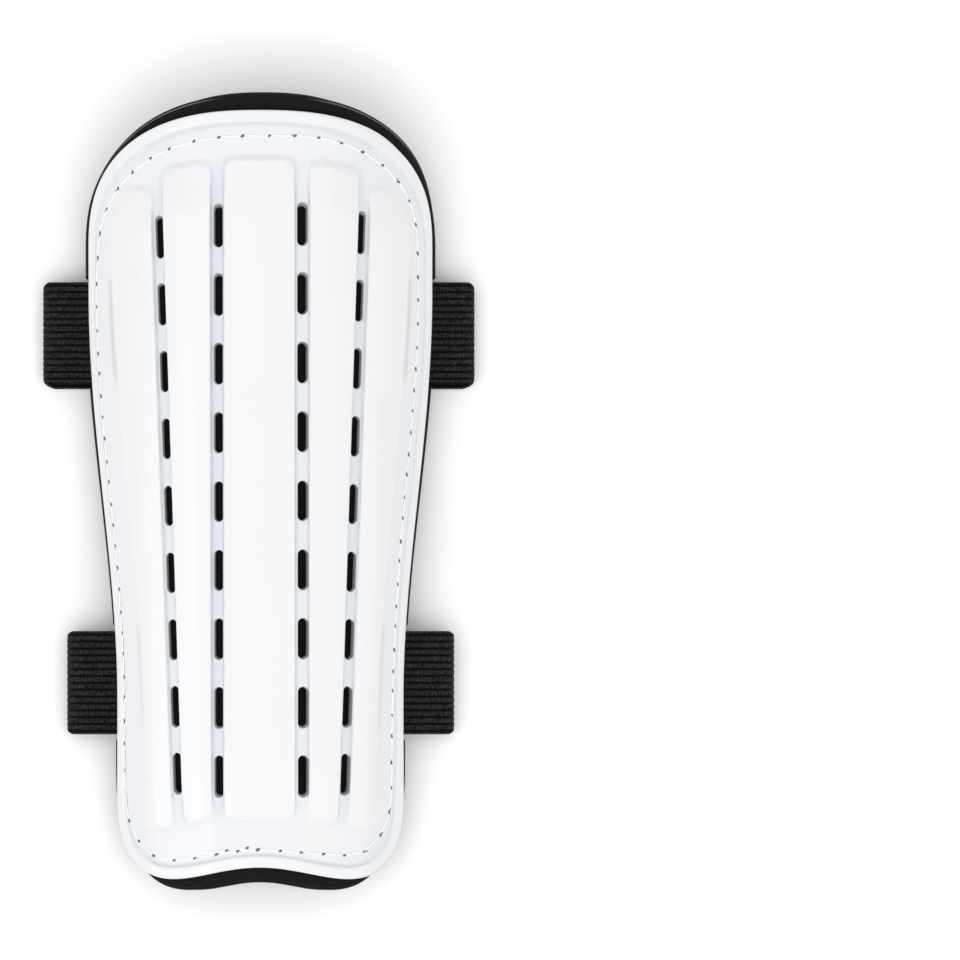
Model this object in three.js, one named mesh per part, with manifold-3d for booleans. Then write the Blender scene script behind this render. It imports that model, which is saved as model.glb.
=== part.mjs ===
// Soccer shin guard, lying on its back with its leg hollow down.
// Millimetres, +Z up. X runs across the leg and Y along it, with the knee end at +Y. The floor is Z = 0.
import * as THREE from 'three';
import { mergeVertices } from 'three/addons/utils/BufferGeometryUtils.js';
import Module from 'manifold-3d';

const wasm = await Module();
wasm.setup();

// Layers, from the front face inwards
const GAP = 0.3;
const SHELL_WALL = 1.5;
const PAD_THICKNESS = 5.0;
const LINING_THICKNESS = 0.8;
const PAD_FRONT = -SHELL_WALL - GAP;
const PAD_BACK = PAD_FRONT - PAD_THICKNESS;
const LINING_FRONT = PAD_BACK - GAP;
const LINING_BACK = LINING_FRONT - LINING_THICKNESS;

// Front face: a tapering arch that follows the shin, slightly bowed lengthwise
const ARCH_RADIUS = 47.5;
const ARCH_RADIUS_RATE = 0.065;
const CREST_HEIGHT = 29.5;
const CREST_RATE = 0.045;
const BOW_DEPTH = 1.0;
const BOW_HALF_LENGTH = 95;

// Outline of each layer, in plan. The top arch starts at TOP_ARCH_Y and the bottom corners at LOW_CORNER_Y.
const TOP_ARCH_Y = 57.7;
const LOW_CORNER_Y = -76;
const TAPER_TOP_Y = 45;
const NOTCH_HALF_WIDTH = 25;
const SHELL_OUTLINE = { halfTop: 41.2, halfLow: 34, topReach: 33.4, topPower: 2.55,
  lowReach: 17.6, lowPower: 4.3, notch: 3.2 };
const BACKING_OUTLINE = { halfTop: 43.4, halfLow: 36.1, topReach: 37.9, topPower: 2.3,
  lowReach: 21.11, lowPower: 3.2, notch: 2.6 };

// Ribs. Each edge crosses the two stations at x = low and x = top, and is its rib's outer or inner edge.
// The ribs stop short of the shell's bottom and top edges by lowInset and topInset.
const STATION_TOP = 72;
const STATION_LOW = -60;
const RIB_HEIGHT = 1.8;
const RIB_FLANK = 1.0;
const RIB_EDGES = {
  centreOuter: { low: 8.5, top: 8.5, outer: true, lowInset: 10.9, topInset: 11.1 },
  middleInner: { low: 11.3, top: 12.1, outer: false, lowInset: 11.3, topInset: 12.0 },
  middleOuter: { low: 18.7, top: 23.9, outer: true, lowInset: 12.4, topInset: 11.2 },
  sideInner: { low: 21.7, top: 27.0, outer: false, lowInset: 11.6, topInset: 14.0 },
};

// The side rib's outer edge, as a share of the way from its inner edge to the shell's edge
const SIDE_RIB_SHARE = { low: 0.47, top: 0.71 };
const SIDE_RIB_FLANK_SHARE = 0.08;
const SIDE_RIB_INSETS = { lowInset: 10.5, topInset: 12.0 };

// Vent slots, one row in each channel between two ribs, on both sides of the crest
const SLOT_WIDTH = 2.5;
const SLOT_LENGTH = 10;
const SLOTS_PER_ROW = 9;
const SLOT_CUT_DEPTH = 8;
const SLOT_ROWS = [
  { from: RIB_EDGES.centreOuter, to: RIB_EDGES.middleInner, topY: 63.4, pitch: 16.45 },
  { from: RIB_EDGES.middleOuter, to: RIB_EDGES.sideInner, topY: 60.5, pitch: 16.05 },
];

// Elastic straps: each is sewn in between shell and pad at both edges and goes round behind
const STRAP_WIDTH = 25;
const STRAP_THICKNESS = 1.3;
const STRAP_TAB_REACH = 5.5;
const STRAP_BEND_RADIUS = 3;
const STRAPS = [
  { name: 'strap_upper', y: 37.6, foldX: 51.9, backShift: -1.9 },
  { name: 'strap_lower', y: -46.3, foldX: 46.6, backShift: 0 },
];

// Grid steps
const WALL_ROWS = 16;
const WALL_COLUMNS_PER_SIDE = 7;
const RIB_ROWS = 10;
const MARGIN_ROWS = 3;
const TAB_STEPS = 3;
const BEND_STEPS = 4;
const FOLD_STEPS = 8;
const SLOT_ARC_STEPS = 2;

const MATERIALS = {
  shell: new THREE.MeshStandardMaterial({ color: 0xf2f4f8, roughness: 0.22, metalness: 0 }),
  foam: new THREE.MeshStandardMaterial({ color: 0x1d1b1b, roughness: 0.9, metalness: 0 }),
  lining: new THREE.MeshStandardMaterial({ color: 0x18181a, roughness: 0.95, metalness: 0 }),
  elastic: new THREE.MeshStandardMaterial({ color: 0x141414, roughness: 0.85, metalness: 0 }),
};

const radiusAt = (y) => ARCH_RADIUS + ARCH_RADIUS_RATE * y;
const crestAt = (y) => CREST_HEIGHT + CREST_RATE * y - BOW_DEPTH * (y / BOW_HALF_LENGTH) ** 2;
const crestSlopeAt = (y) => CREST_RATE - 2 * BOW_DEPTH * y / BOW_HALF_LENGTH ** 2;

// Outward normal of the front face over (x, y)
function normalAt(x, y) {
  const radius = radiusAt(y);
  const drop = Math.sqrt(radius ** 2 - x ** 2);
  const slopeX = -x / drop;
  const slopeY = crestSlopeAt(y) - ARCH_RADIUS_RATE + ARCH_RADIUS_RATE * radius / drop;
  return new THREE.Vector3(-slopeX, -slopeY, 1).normalize();
}

// Point at a height along the normal over the front face's point (x, y)
function pointAt(x, y, height) {
  const radius = radiusAt(y);
  const z = crestAt(y) - radius + Math.sqrt(radius ** 2 - x ** 2);
  return new THREE.Vector3(x, y, z).addScaledVector(normalAt(x, y), height);
}

const superellipse = (share, power) => Math.max(0, 1 - Math.abs(share) ** power) ** (1 / power);
const onStations = (line, y) => THREE.MathUtils.mapLinear(y, STATION_LOW, STATION_TOP, line.low, line.top);
const midway = (a, b) => ({ low: (a.low + b.low) / 2, top: (a.top + b.top) / 2 });

// Half-width of an outline at y, its top edge over x, and its bottom edge over x
function sideX(outline, y) {
  const taper = THREE.MathUtils.smoothstep(y, LOW_CORNER_Y, TAPER_TOP_Y);
  const half = THREE.MathUtils.lerp(outline.halfLow, outline.halfTop, taper);
  if (y > TOP_ARCH_Y) return half * superellipse((y - TOP_ARCH_Y) / outline.topReach, outline.topPower);
  if (y < LOW_CORNER_Y) return half * superellipse((LOW_CORNER_Y - y) / outline.lowReach, outline.lowPower);
  return half;
}

function topY(outline, x) {
  return TOP_ARCH_Y + outline.topReach * superellipse(x / outline.halfTop, outline.topPower);
}

function lowY(outline, x) {
  const reach = Math.min(Math.abs(x) / NOTCH_HALF_WIDTH, 1);
  const notch = outline.notch * Math.cos(reach * Math.PI / 2) ** 2;
  return LOW_CORNER_Y - outline.lowReach * superellipse(x / outline.halfLow, outline.lowPower) + notch;
}

// A grid column: its x over y, and its two ends on the outline.
// The grid's corners are where the top arch and the bottom corners turn most.
function column(outline, xAt, extra) {
  const topCorner = TOP_ARCH_Y + outline.topReach * 2 ** (-1 / outline.topPower);
  const lowCorner = LOW_CORNER_Y - outline.lowReach * 2 ** (-1 / outline.lowPower);
  const heldX = (y) => xAt(THREE.MathUtils.clamp(y, lowCorner, topCorner));
  const ends = { low: lowY(outline, heldX(lowCorner)), high: topY(outline, heldX(topCorner)) };
  return { xAt: heldX, ...ends, ...extra };
}

function mirrored(columns) {
  const left = columns.slice(1).reverse().map((side) => ({ ...side, xAt: (y) => -side.xAt(y) }));
  return [...left, ...columns];
}

// Closed sheet between two grids of points, front[column][row] and back[column][row]
function closedSheet(front, back) {
  const columns = front.length;
  const rows = front[0].length;
  const positions = [...front.flat(), ...back.flat()].flatMap((point) => point.toArray());
  const backStart = columns * rows;
  const index = [];
  const quad = (a, b, c, d) => index.push(a, b, c, a, c, d);
  const at = (c, r) => c * rows + r;
  for (let c = 0; c < columns - 1; c += 1) {
    for (let r = 0; r < rows - 1; r += 1) {
      const [a, b, d, e] = [at(c, r), at(c + 1, r), at(c + 1, r + 1), at(c, r + 1)];
      quad(a, b, d, e);
      quad(a + backStart, e + backStart, d + backStart, b + backStart);
    }
  }
  const rim = (a, b) => quad(b, a, a + backStart, b + backStart);
  for (let c = 0; c < columns - 1; c += 1) {
    rim(at(c, 0), at(c + 1, 0));
    rim(at(c + 1, rows - 1), at(c, rows - 1));
  }
  for (let r = 0; r < rows - 1; r += 1) {
    rim(at(columns - 1, r), at(columns - 1, r + 1));
    rim(at(0, r + 1), at(0, r));
  }
  const geometry = new THREE.BufferGeometry();
  geometry.setAttribute('position', new THREE.Float32BufferAttribute(positions, 3));
  geometry.setIndex(index);
  return geometry;
}

// Booleans on closed geometries
function toSolid(geometry) {
  const bare = geometry.clone();
  bare.deleteAttribute('normal');
  bare.deleteAttribute('uv');
  const merged = mergeVertices(bare, 1e-4);
  return new wasm.Manifold(new wasm.Mesh({ numProp: 3,
    vertProperties: new Float32Array(merged.attributes.position.array),
    triVerts: new Uint32Array(merged.index.array) }));
}

function toGeometry(solid) {
  const mesh = solid.getMesh();
  const geometry = new THREE.BufferGeometry();
  geometry.setAttribute('position', new THREE.BufferAttribute(mesh.vertProperties, 3));
  geometry.setIndex(new THREE.BufferAttribute(mesh.triVerts, 1));
  return geometry;
}

// Shell columns, from the crest outwards: both feet of every rib flank, and one column inside each wide rib
function shellColumns() {
  const { centreOuter, middleInner, middleOuter, sideInner } = RIB_EDGES;
  const lineColumn = (line, offset, raised, { lowInset, topInset }) =>
    column(SHELL_OUTLINE, (y) => onStations(line, y) + offset, { lowInset, topInset, raised });
  const flank = (edge) => [
    lineColumn(edge, -RIB_FLANK / 2, edge.outer, edge),
    lineColumn(edge, RIB_FLANK / 2, !edge.outer, edge),
  ];
  const sideColumn = (shareAt, raised) => column(SHELL_OUTLINE, (y) =>
    THREE.MathUtils.lerp(onStations(sideInner, y), sideX(SHELL_OUTLINE, y), shareAt(y)),
  { ...SIDE_RIB_INSETS, raised });
  const ribShare = (y) => onStations(SIDE_RIB_SHARE, y);
  return mirrored([
    lineColumn({ low: 0, top: 0 }, 0, true, centreOuter),
    ...flank(centreOuter),
    ...flank(middleInner),
    lineColumn(midway(middleInner, middleOuter), 0, true, middleOuter),
    ...flank(middleOuter),
    ...flank(sideInner),
    sideColumn((y) => ribShare(y) / 2, true),
    sideColumn((y) => ribShare(y) - SIDE_RIB_FLANK_SHARE / 2, true),
    sideColumn((y) => ribShare(y) + SIDE_RIB_FLANK_SHARE / 2, false),
    sideColumn((y) => (ribShare(y) + 1) / 2, false),
    sideColumn(() => 1, false),
  ]);
}

// Rows along one shell column: the plain margin, the rib's end flank, the rib, and the same at the top
function shellRows(side) {
  const ribLow = side.low + side.lowInset;
  const ribHigh = side.high - side.topInset;
  const half = RIB_FLANK / 2;
  const rows = [];
  for (let step = 0; step <= MARGIN_ROWS; step += 1) {
    rows.push({ y: THREE.MathUtils.lerp(side.low, ribLow - half, step / MARGIN_ROWS), raised: false });
  }
  for (let step = 0; step <= RIB_ROWS; step += 1) {
    const y = THREE.MathUtils.lerp(ribLow + half, ribHigh - half, step / RIB_ROWS);
    rows.push({ y, raised: side.raised });
  }
  for (let step = 0; step <= MARGIN_ROWS; step += 1) {
    rows.push({ y: THREE.MathUtils.lerp(ribHigh + half, side.high, step / MARGIN_ROWS), raised: false });
  }
  return rows;
}

// Round-ended cutter for one vent slot, square to the front face
function slotCutter(row, y, sign) {
  const xAt = (along) => sign * onStations(midway(row.from, row.to), along);
  const radius = SLOT_WIDTH / 2;
  const straight = SLOT_LENGTH / 2 - radius;
  const shape = new THREE.Shape();
  shape.absarc(0, straight, radius, 0, Math.PI);
  shape.absarc(0, -straight, radius, Math.PI, 2 * Math.PI);
  const options = { depth: SLOT_CUT_DEPTH, bevelEnabled: false, curveSegments: SLOT_ARC_STEPS };
  const cutter = new THREE.ExtrudeGeometry(shape, options).translate(0, 0, -SLOT_CUT_DEPTH / 2);
  const outward = normalAt(xAt(y), y);
  const along = pointAt(xAt(y + 1), y + 1, 0).sub(pointAt(xAt(y - 1), y - 1, 0));
  along.addScaledVector(outward, -along.dot(outward)).normalize();
  const placing = new THREE.Matrix4().makeBasis(along.clone().cross(outward), along, outward);
  placing.setPosition(pointAt(xAt(y), y, 0));
  return cutter.applyMatrix4(placing);
}

function shellGeometry() {
  const layer = (height) => shellColumns().map((side) => shellRows(side).map((row) =>
    pointAt(side.xAt(row.y), row.y, height + (row.raised ? RIB_HEIGHT : 0))));
  let solid = toSolid(closedSheet(layer(0), layer(-SHELL_WALL)));
  for (const row of SLOT_ROWS) {
    for (const sign of [-1, 1]) {
      for (let slot = 0; slot < SLOTS_PER_ROW; slot += 1) {
        solid = solid.subtract(toSolid(slotCutter(row, row.topY - slot * row.pitch, sign)));
      }
    }
  }
  return toGeometry(solid);
}

// Smooth wall of one soft layer, with its columns at even angles round the arch
function softWall(front, back) {
  const outline = BACKING_OUTLINE;
  const columns = [];
  for (let step = 0; step <= WALL_COLUMNS_PER_SIDE; step += 1) {
    const share = step / WALL_COLUMNS_PER_SIDE;
    columns.push(column(outline, (y) =>
      radiusAt(y) * Math.sin(share * Math.asin(sideX(outline, y) / radiusAt(y)))));
  }
  const layer = (height) => mirrored(columns).map((side) => {
    const points = [];
    for (let step = 0; step <= WALL_ROWS; step += 1) {
      const y = THREE.MathUtils.lerp(side.low, side.high, (1 - Math.cos(Math.PI * step / WALL_ROWS)) / 2);
      points.push(pointAt(side.xAt(y), y, height));
    }
    return points;
  });
  return closedSheet(layer(front), layer(back));
}

// Middle line of one strap over y, from the crest side of its right tab to the middle of its back run
function strapHalfRoute(strap, y, tabReach) {
  const route = [];
  const edge = sideX(SHELL_OUTLINE, y);
  const tabHeight = PAD_FRONT - STRAP_THICKNESS / 2;
  for (let step = 0; step <= TAB_STEPS; step += 1) {
    const point = pointAt(edge - tabReach * (1 - step / TAB_STEPS), y, tabHeight);
    route.push({ x: point.x, z: point.z, shift: 0 });
  }
  const exit = route.at(-1);
  const normal = normalAt(edge, y);
  const slope = Math.atan2(normal.x, normal.z);
  for (let step = 1; step <= BEND_STEPS; step += 1) {
    const angle = slope * (1 - step / BEND_STEPS);
    route.push({ x: exit.x + STRAP_BEND_RADIUS * (Math.sin(slope) - Math.sin(angle)),
      z: exit.z - STRAP_BEND_RADIUS * (Math.cos(angle) - Math.cos(slope)), shift: 0 });
  }
  const floor = STRAP_THICKNESS / 2;
  const foldRadius = (route.at(-1).z - floor) / 2;
  const foldCentre = strap.foldX - floor - foldRadius;
  for (let step = 0; step <= FOLD_STEPS; step += 1) {
    const share = step / FOLD_STEPS;
    route.push({ x: foldCentre + foldRadius * Math.sin(Math.PI * share),
      z: floor + foldRadius * (1 + Math.cos(Math.PI * share)), shift: share });
  }
  route.push({ x: 0, z: floor, shift: 1 });
  return route;
}

// Closed ribbon along a strap's whole loop, grown on every side by a clearance
function strapGeometry(strap, clearance) {
  const halfThickness = STRAP_THICKNESS / 2 + clearance;
  const halfWidth = STRAP_WIDTH / 2 + clearance;
  const edges = [-halfWidth, halfWidth].map((offset) => {
    const right = strapHalfRoute(strap, strap.y + offset, STRAP_TAB_REACH + clearance);
    const left = right.slice(0, -1).map((point) => ({ ...point, x: -point.x }));
    const route = [...left, ...right.reverse()];
    return route.map((point, i) => {
      const before = route[Math.max(i - 1, 0)];
      const after = route[Math.min(i + 1, route.length - 1)];
      const tangent = new THREE.Vector2(after.x - before.x, after.z - before.z).normalize();
      const y = strap.y + offset + strap.backShift * point.shift;
      const face = (height) =>
        new THREE.Vector3(point.x - tangent.y * height, y, point.z + tangent.x * height);
      return { front: face(halfThickness), back: face(-halfThickness) };
    });
  });
  const layer = (name) => edges[0].map((_, i) => edges.map((edge) => edge[i][name]));
  return closedSheet(layer('front'), layer('back'));
}

// The pad, with a shallow pocket under every strap tab
function padGeometry() {
  let solid = toSolid(softWall(PAD_FRONT, PAD_BACK));
  for (const strap of STRAPS) {
    solid = solid.subtract(toSolid(strapGeometry(strap, GAP)));
  }
  return toGeometry(solid);
}

const guard = new THREE.Group();

function addPiece(name, geometry, material) {
  const piece = new THREE.Mesh(geometry, material);
  piece.name = name;
  guard.add(piece);
}

addPiece('shell', shellGeometry(), MATERIALS.shell);
addPiece('foam_pad', padGeometry(), MATERIALS.foam);
addPiece('lining', softWall(LINING_FRONT, LINING_BACK), MATERIALS.lining);
for (const strap of STRAPS) {
  addPiece(strap.name, strapGeometry(strap, 0), MATERIALS.elastic);
}

export default guard;
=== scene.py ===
"""Looks of a soccer shin guard, built around its solids. Lengths are millimetres until a mesh is made."""

import math
from functools import partial

import bpy
import numpy as np
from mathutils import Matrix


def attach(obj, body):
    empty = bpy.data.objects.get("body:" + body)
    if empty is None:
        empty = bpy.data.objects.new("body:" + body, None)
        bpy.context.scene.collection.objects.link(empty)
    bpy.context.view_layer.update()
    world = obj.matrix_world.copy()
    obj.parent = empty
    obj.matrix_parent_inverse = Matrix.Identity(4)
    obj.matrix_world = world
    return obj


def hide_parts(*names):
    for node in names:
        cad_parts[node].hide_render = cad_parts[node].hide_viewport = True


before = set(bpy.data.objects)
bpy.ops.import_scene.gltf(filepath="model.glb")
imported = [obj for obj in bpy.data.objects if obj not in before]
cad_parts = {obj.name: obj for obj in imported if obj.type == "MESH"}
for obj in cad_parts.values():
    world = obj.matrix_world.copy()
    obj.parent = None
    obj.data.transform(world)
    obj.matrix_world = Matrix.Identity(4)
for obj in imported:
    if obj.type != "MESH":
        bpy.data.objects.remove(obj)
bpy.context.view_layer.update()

MM = 0.001
BODY = "root"
POINTS_AT_ONCE = 4000

# Front face: a tapering arch that follows the shin, slightly bowed lengthwise
ARCH_RADIUS = 47.5
ARCH_RADIUS_RATE = 0.065
CREST_HEIGHT = 29.5
CREST_RATE = 0.045
BOW_DEPTH = 1.0
BOW_HALF_LENGTH = 95

# Layers, as heights along the front face's normal
SHELL_WALL = 1.0
PAD_FRONT = -1.08
PAD_BACK = -6.75
LINING_FRONT = -6.8
LINING_BACK = -7.55

# Outlines in plan
TOP_ARCH_Y = 57.7
LOW_CORNER_Y = -66
TAPER_LOW_Y = -50
TAPER_TOP_Y = 47
NOTCH_HALF_WIDTH = 27.5
NOTCH_POWER = 1.6
SHELL_OUTLINE = dict(half_top=41.2, half_low=34.3, top_reach=33.4, top_power=2.55,
                     low_reach=29.6, low_power=3.8, notch=5.15)
PAD_OUTLINE = dict(half_top=43.4, half_low=36.1, top_reach=37.2, top_power=2.43,
                   low_reach=34.4, low_power=2.65, notch=6.25)
LINING_OUTLINE = dict(PAD_OUTLINE, half_top=43.6, half_low=36.3, top_reach=37.6, low_reach=34.8)
PAD_SKEW = dict(shift=1, low_y=66, top_y=86)

# Soft layers: grid, its lines' distances from the edge, rounded edges, and the seam's pull on them
SOFT_GRID = dict(half_columns=44, rows=130)
PAD_RIM = (3, 2.2, 1.6, 1.1, 0.85, 0.75, 0.68, 0.61, 0.54, 0.45, 0.3, 0.18, 0.08, 0.02, 0)
LINING_RIM = (2.4, 1.7, 1.1, 0.7, 0.4, 0.2, 0.08, 0)
PAD_ROUND = dict(front=0.35, back=0.4)
LINING_ROUND = dict(front=0.2, back=0.3)
SEAM_PULL = dict(depth=1.3, reach=2.6)

# The foam's skin: its step at the edge, how far in from its edge it is painted darker as shade under the
# shell, and the painted pale highlight line near its edge at the knee end
PAD_SKIN = dict(step=0.4, start=0.5, blend=0.3)
PAD_UNSHADED = dict(full=2, none=6)
PAD_EDGE_HIGHLIGHT = dict(distance=0.58, reach=0.12, y=(62, 74), x=(9, 19))

# Ribs: x of each rib edge at the two stations, and y of the rib's ends at that edge
STATION_TOP = 72
STATION_LOW = -60
RIB_HEIGHT = dict(low=1.05, top=1.3)
RIB_CROWN = 0.35
RIB_FLANK = dict(low=0.55, top=0.75)
# Painted shade along the ribs' flanks: its darkest share, and the distances inside the rib ends over which it
# fades in
RIB_FLANK_SHADE = dict(dark=0.22, end_fade=(2, 10))
RIB_END_FLANK = dict(low=2.5, top=2.4)
RIB_END_TAPER = dict(share=0.5, length=12)
RIB_CORNER = 2.7
RIB_EDGES = {
    "centre_outer": dict(low=8.5, top=8.5, low_end=-79.3, top_end=79.7),
    "middle_inner": dict(low=11.3, top=11.5, low_end=-79.2, top_end=78.8),
    "middle_outer": dict(low=18.85, top=23.1, low_end=-80.6, top_end=77.2),
    "side_inner": dict(low=21.2, top=25.65, low_end=-81.7, top_end=72.8),
}

# How far the ribs of the guard's right half stand further out, over their x
RIB_SHIFT = dict(x=(8.5, 11.5, 20, 27, 33), shift=(0, 0.25, 0.45, 0.45, 0))

# The side rib's outer edge: its share of the way from the inner edge to the shell's, and its long corners
SIDE_RIB_SHARE = dict(low=0.51, top=0.685)
SIDE_RIB_OUTER_FLANK = 4
SIDE_RIB_LOW_CORNER = dict(across=2.4, along=2.4)
SIDE_RIB_TOP_CORNER = dict(across=7, along=13)

# The shell's grid: how far its two lines at a rib edge stand from it, and the columns between them. For each
# edge: columns that lead to it, and the two lines' shares of the way to the side at the top corners
GRID_FLANK = 0.75
GRID_FLANK_COLUMNS = 6
GRID_LINES = {
    "centre_outer": (6, 0.3, 0.35),
    "middle_inner": (4, 0.45, 0.5),
    "middle_outer": (5, 0.74, 0.79),
    "side_inner": (4, 0.855, 0.895),
}

# Lines on the side rib's outer flank: offset, limit on the way to the rim, and columns that lead to them
SOFT_EDGE_LINES = ((-2.4, 0.5, 5), (2.4, 0.8, 8))
RIM_LEAD = 3

# The shell's rows: level ones and those near its ends, and the y above which the grid's lines draw in
LEVEL_ROWS = dict(low=-77, top=70.5, count=134)
END_ROWS = dict(flank=1.3, flank_count=9, margin_count=6, low_bridge_count=5, top_bridge_count=8)
SPREAD_START_Y = 77.5

# Raised rim round the shell's edge, wider at the two ends than along the sides
RIM_HEIGHT = 0.5
RIM_WIDTH = 2.9
RIM_STEP = 0.6
RIM_GROOVE = dict(depth=0.28, distance=3.27, reach=0.22)
RIM_ROUND = 0.45
RIM_SIDE_SHARE = 0.75
RIM_SIDE_Y = 55
RIM_END_Y = 80
RIM_DISTANCES = (4.3, 3.8, 3.52, 3.32, 3.15, 3, 2.85, 2.6, 2.1, 1.4, 0.9, 0.5, 0.28, 0.12, 0.03, 0)

# How strongly the channels' floors are painted a cooler, darker white as shade, over their x: most in the
# inner left channel, least in the inner right
CHANNEL_PAINTED_SHADE = dict(x=(-21, -11, 11, 21), tint=(0.4, 0.9, 0.05, 0.5), end_fade=(-1.5, 3), past_rib=1)

# Vent slots: rows between two rib edges on one side, each slot's far end sloped towards the guard's end
SLOT_FILLET = 0.2
SLOT_FILLET_STEPS = 5
SLOT_LAND_STEPS = 6
SLOT_WALL_STEPS = 7
SLOT_WALL_CURVE = 1.6
SLOT_DRAFT_SHIFT = 0.75
SLOT_SHADE_SHARE = 0.35
SLOT_MARGIN = 1.6
SLOT_END_SLOPE = dict(low=0.6, top=1, at_y=62)
SLOTS_PER_ROW = 9
SLOT_COLUMNS = ("side", "inner", "outer", "half_length", "top_y", "pitch", "half_width", "draft", "shift")
SLOT_ROWS = [dict(zip(SLOT_COLUMNS, row)) for row in (
    (-1, "centre_outer", "middle_inner", 4.82, 63.05, 16.43, 1.17, 0.16, dict(low=-0.1, top=-0.1)),
    (1, "centre_outer", "middle_inner", 4.82, 63.4, 16.47, 1.28, 0.22, dict(low=0.55, top=0.3)),
    (-1, "middle_outer", "side_inner", 4.75, 60.35, 16.01, 1.03, 0.03, dict(low=0.05, top=0)),
    (1, "middle_outer", "side_inner", 4.75, 61.4, 16.17, 1.07, 0.1, dict(low=0.65, top=0.35)),
)]

# Straps
STRAP_THICKNESS = 1.3
STRAP_TAB = dict(inside=5.5, past_edge=1, gap=0.3)
STRAP_BEND_RADIUS = 4
STRAP_RIBS = 15
STRAP_RIB_DEPTH = 0.3
STRAP_RIB_STEPS = 7
STRAP_SELVEDGE = dict(width=0.5, thickness_share=0.25)
STRAP_FOLD_ROUND = 0.9
STRAP_SHIFT_START = 0.25
STRAP_STEPS = dict(tab=7, bend=10, run=8, fold=26, back=30)
STRAP_POCKET = dict(depth=1.75, reach=7, gap=0.1, blend=0.8)
STRAPS = {
    "strap_upper": dict(y=38.1, width=24, fold_left=52.4, fold_right=51.5, back_shift=-1.7),
    "strap_lower": dict(y=-46.3, width=24.8, fold_left=46.6, fold_right=46.6, back_shift=0),
}

# Seam round the shell, with a cooler band of shell outside it
SEAM_BAND = dict(tint=0.2, blend=(-0.6, 0.2))
SEAM_CLEARANCE = dict(gap=0.4, blend=2.2)
STITCH_PITCH = 5.2
STITCH_PHASE = 0.35
STITCH_UNEVEN = 0.07
LONG_STITCHES = dict(pitch=6.1, low_x=(12, 24), low_y=(45, 70), top_y=(30, 60))
STITCH_INSET = dict(low=4.3, low_left=4.5, low_right=5.7, top_left=6.2, top_right=5.6)
STITCH_SIDE_INSET = dict(y=(-67, -36, 0, 26), left=(2.6, 2.4, 2.8, 3.1), right=(4.4, 3.5, 4.8, 5.3))
INSET_BLEND = dict(low_y=(-88, -72), top_y=(48, 84), side_x=(-20, 20), top_x=(0, 18), low_x=(4, 19))
OVERLAP = dict(start_x=-3, pitch=4.95, stitches=2, inset=0.55)
THREAD = dict(radius=0.19, strand=0.14, twist=2.1, lift=0.4, dive=0.6, dive_power=7, slant=0.22)
BACK_SEAM_DEPTH = 1.2
NEEDLE_HOLE = dict(length=0.5, width=0.32, thread_share=0.55, turn=0.5, sizes=(0.85, 1.2))
NEEDLE_MARK = dict(share=0.45, gap=0.8, size=0.62)

# Rings of a needle hole's burr and of its dark inside: scale of the hole's size, and height
BURR_RINGS = ((1.35, -0.03), (1.2, 0.05), (1.03, 0.06), (0.9, -0.05))
HOLE_RINGS = ((1, 0.02), (0.55, 0.012))

# Floor, and the studio's lights and camera in metres and watts
FLOOR = dict(half=3000, z=-0.3)
WORLD = dict(color=(0.975, 0.988, 1, 1), strength=0.77)
SOFTBOXES = {
    "overhead_softbox": dict(place=(-0.2, -1.1, 6), size=(9, 9), power=213),
    "left_softbox": dict(place=(-2, -0.7, 1.4), size=(1.2, 2), power=11.5),
    "right_softbox": dict(place=(2, -0.7, 1.4), size=(1.2, 2), power=8.5),
}
CAMERA = dict(distance=5, aim=(0.0528, 0.0025, 0.02), frame_width=0.2304)


# Front face and outlines

def smoothstep(value, low, high):
    share = np.clip((value - low) / (high - low), 0, 1)
    return share * share * (3 - 2 * share)


def smootherstep(share):
    share = np.clip(share, 0, 1)
    return share ** 3 * (share * (6 * share - 15) + 10)


def lerp(a, b, share):
    return a + (b - a) * share


def unit(vectors):
    return vectors / np.linalg.norm(vectors, axis=-1, keepdims=True)


def radius_at(y):
    return ARCH_RADIUS + ARCH_RADIUS_RATE * y


def normal_at(x, y):
    radius = radius_at(y)
    drop = np.sqrt(radius ** 2 - x ** 2)
    crest_slope = CREST_RATE - 2 * BOW_DEPTH * y / BOW_HALF_LENGTH ** 2
    slope_y = crest_slope - ARCH_RADIUS_RATE + ARCH_RADIUS_RATE * radius / drop
    return unit(np.stack(np.broadcast_arrays(x / drop, -slope_y, 1.0), axis=-1))


def place(x, y, height):
    """Points at a height along the normal over the front face's points (x, y)."""
    x, y, height = np.broadcast_arrays(x, y, height)
    radius = radius_at(y)
    crest = CREST_HEIGHT + CREST_RATE * y - BOW_DEPTH * (y / BOW_HALF_LENGTH) ** 2
    z = crest - radius + np.sqrt(radius ** 2 - x ** 2)
    return np.stack([x, y, z], axis=-1) + normal_at(x, y) * height[..., None]


def unroll(x, y):
    return radius_at(y) * np.arcsin(x / radius_at(y))


def roll_up(across, y):
    return radius_at(y) * np.sin(across / radius_at(y))


def superellipse(share, power):
    return np.maximum(0, 1 - np.abs(share) ** power) ** (1 / power)


def side_x(outline, y):
    half = lerp(outline["half_low"], outline["half_top"], smoothstep(y, TAPER_LOW_Y, TAPER_TOP_Y))
    top = superellipse(np.maximum(y - TOP_ARCH_Y, 0) / outline["top_reach"], outline["top_power"])
    low = superellipse(np.maximum(LOW_CORNER_Y - y, 0) / outline["low_reach"], outline["low_power"])
    return half * top * low


def top_y(outline, x):
    return TOP_ARCH_Y + outline["top_reach"] * superellipse(x / outline["half_top"], outline["top_power"])


def low_y(outline, x):
    reach = np.minimum(np.abs(x) / NOTCH_HALF_WIDTH, 1)
    notch = outline["notch"] * np.cos(reach * math.pi / 2) ** NOTCH_POWER
    corner = superellipse(x / outline["half_low"], outline["low_power"])
    return LOW_CORNER_Y - outline["low_reach"] * corner + notch


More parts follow.
